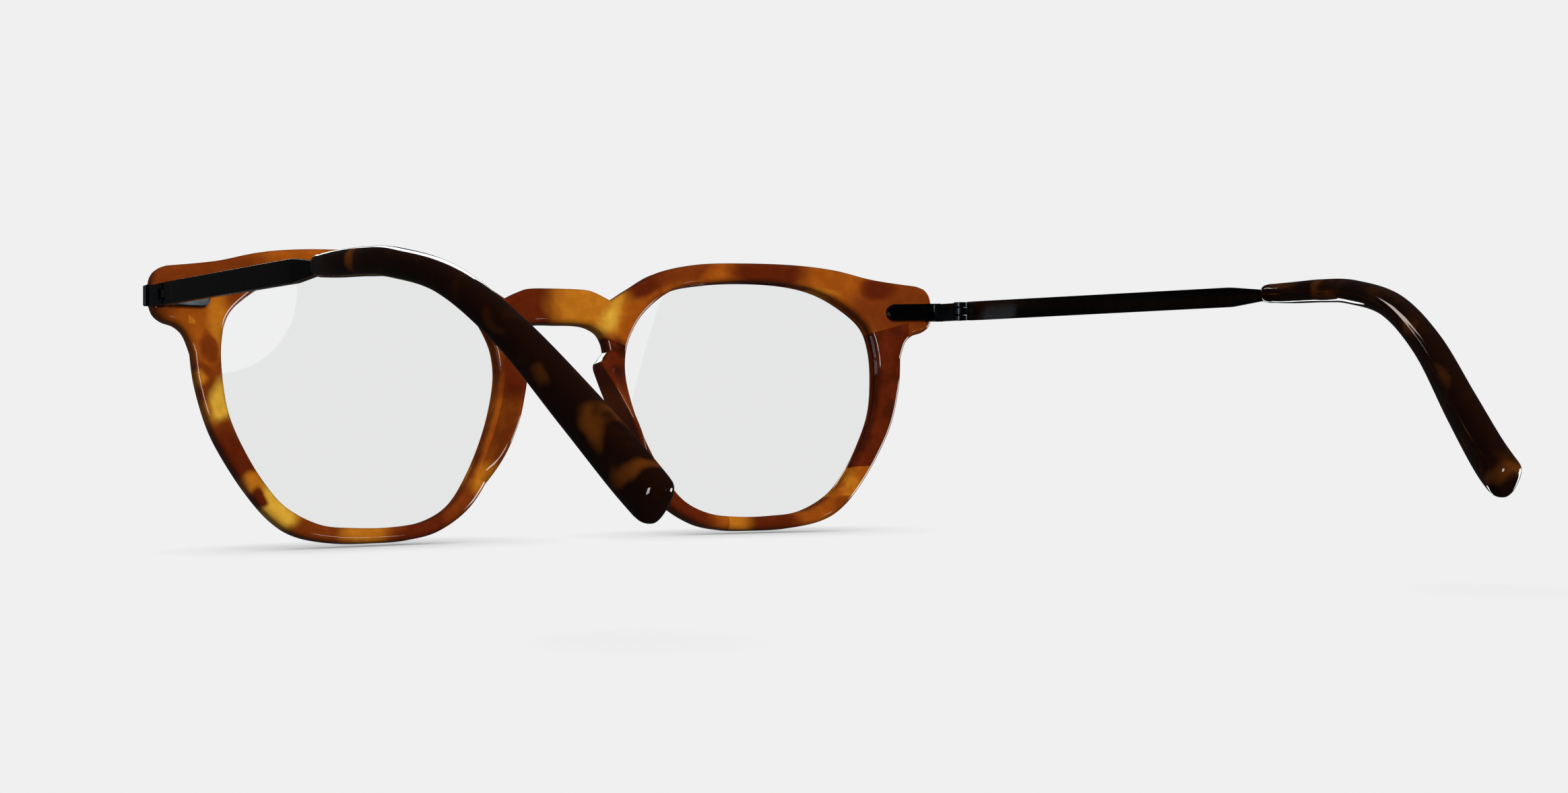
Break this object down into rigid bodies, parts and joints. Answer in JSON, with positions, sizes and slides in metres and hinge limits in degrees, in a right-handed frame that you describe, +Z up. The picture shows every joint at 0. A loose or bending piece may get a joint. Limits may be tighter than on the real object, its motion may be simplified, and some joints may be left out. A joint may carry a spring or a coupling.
{
  "type": "eyeglasses frame",
  "caption": "Full-rim acetate eyeglasses frame with a keyhole bridge, clear demo lenses and slim metal temples that fold on barrel hinges.",
  "frame": {"origin": "centre of the overall box, at the lowest point of the rims, with the temples open", "axes": "+X to the wearer's left, -Y the way the wearer looks, +Z up"},
  "size_m": [0.1426, 0.1545, 0.0456],
  "materials": {
    "acetate_front": "polished translucent honey tortoise acetate",
    "acetate_tip": "polished dark tortoise acetate",
    "demo_lens": "clear, polished",
    "black_metal": "satin black plating",
    "steel": "blackened, turned"
  },
  "bodies": {
    "front": {"front_frame": "acetate_front", "lens_left": "demo_lens", "lens_right": "demo_lens", "nose_pad_left": "acetate_front", "nose_pad_right": "acetate_front", "hinge_bracket_left": "black_metal", "hinge_bracket_right": "black_metal", "bracket_rivets_left": "steel", "bracket_rivets_right": "steel", "hinge_screw_left": "steel", "hinge_screw_right": "steel"},
    "left_temple": {"temple_arm_left": "black_metal", "temple_tip_left": "acetate_tip"},
    "right_temple": {"temple_arm_right": "black_metal", "temple_tip_right": "acetate_tip"}
  },
  "joints": [
    {"name": "left_temple_fold", "type": "hinge", "parent": "front", "child": "left_temple", "pos_m": [0.0675, -0.05677, 0.0374], "axis": [0, 0, 1], "range_deg": [0, 88]},
    {"name": "right_temple_fold", "type": "hinge", "parent": "front", "child": "right_temple", "pos_m": [-0.0675, -0.05677, 0.0374], "axis": [0, 0, -1], "range_deg": [0, 84]}
  ]
}
